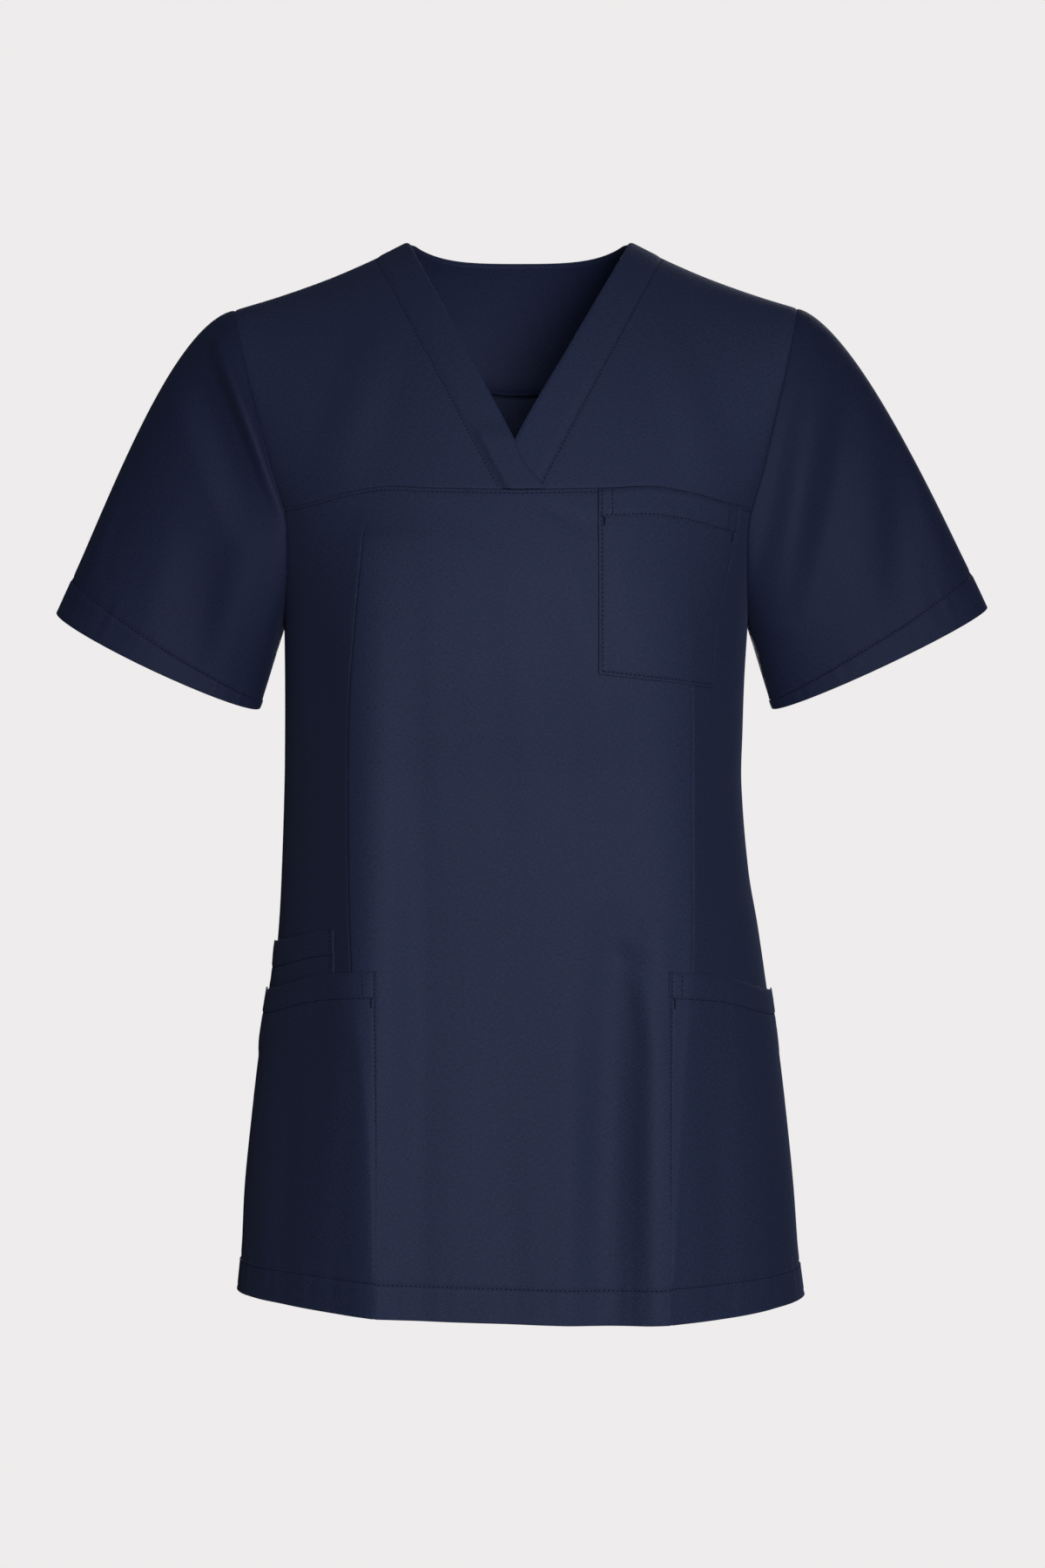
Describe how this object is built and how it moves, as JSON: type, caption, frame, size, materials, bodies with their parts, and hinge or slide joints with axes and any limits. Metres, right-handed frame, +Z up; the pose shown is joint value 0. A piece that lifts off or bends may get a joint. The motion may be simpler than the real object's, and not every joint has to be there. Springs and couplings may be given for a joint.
{
  "type": "medical scrub top",
  "caption": "Short-sleeved V-neck scrub top in worn hollow form, with crossed neck band, front yoke, long darts, chest pocket, hip pockets and a small utility pocket",
  "frame": {"origin": "midway between the two high shoulder points of the neck, on the ridge of the shoulders, where the wearer holds the garment up", "axes": "+X to the wearer's left, -Y to the front, +Z up"},
  "size_m": [0.64, 0.2658, 0.7302],
  "materials": {
    "navy_cloth": "fine plain-woven polyester and cotton cloth, navy, slight satin sheen",
    "navy_cloth_inside": "wrong side of the same navy cloth, with an overlocked edge"
  },
  "bodies": {
    "root": {"back_panel": "navy_cloth", "back_neck_facing": "navy_cloth_inside", "front_body": "navy_cloth", "front_yoke_right": "navy_cloth", "front_yoke_left": "navy_cloth", "neck_band_left": "navy_cloth", "neck_band_right": "navy_cloth", "sleeve_right": "navy_cloth", "sleeve_left": "navy_cloth", "chest_pocket": "navy_cloth", "utility_pocket": "navy_cloth", "hip_pocket_right": "navy_cloth", "hip_pocket_left": "navy_cloth"}
  },
  "joints": []
}
